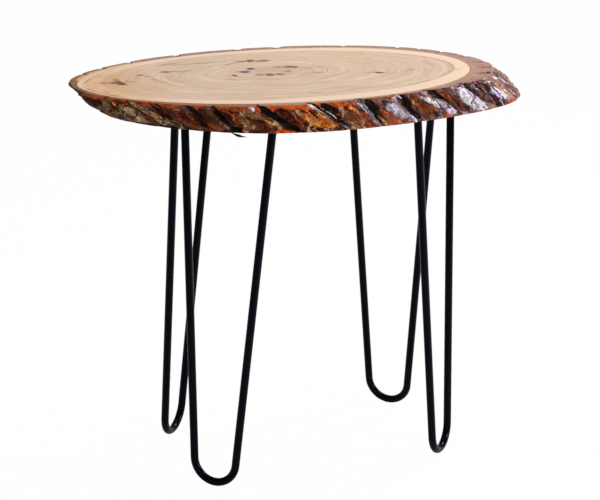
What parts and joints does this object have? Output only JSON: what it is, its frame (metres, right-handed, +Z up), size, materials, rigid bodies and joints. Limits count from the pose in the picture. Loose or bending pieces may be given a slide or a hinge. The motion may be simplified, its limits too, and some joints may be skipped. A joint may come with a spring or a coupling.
{
  "type": "side table",
  "caption": "Live-edge side table: an oblique oval slice of a log with its bark on, standing on black two-rod hairpin legs.",
  "frame": {"origin": "middle of the whole table's plan on the floor, under the feet", "axes": "+Z up, +X along the slab towards the end whose bark slopes outwards, +Y across the slab"},
  "size_m": [0.5714, 0.308, 0.4929],
  "materials": {
    "wood": "satin varnish",
    "bark": "gloss varnish over rough bark",
    "powder_coat": "satin black powder coat",
    "screw_steel": "black oxide"
  },
  "bodies": {
    "root": {"wood_slab": "wood", "bark": "bark", "leg_rod_back_left": "powder_coat", "leg_rod_front_left": "powder_coat", "leg_rod_back_right": "powder_coat", "leg_rod_front_right": "powder_coat", "leg_plate_back_left": "powder_coat", "leg_plate_front_left": "powder_coat", "leg_plate_back_right": "powder_coat", "leg_plate_front_right": "powder_coat", "leg_welds_back_left": "powder_coat", "leg_welds_front_left": "powder_coat", "leg_welds_back_right": "powder_coat", "leg_welds_front_right": "powder_coat", "leg_screws_back_left": "screw_steel", "leg_screws_front_left": "screw_steel", "leg_screws_back_right": "screw_steel", "leg_screws_front_right": "screw_steel"}
  },
  "joints": []
}
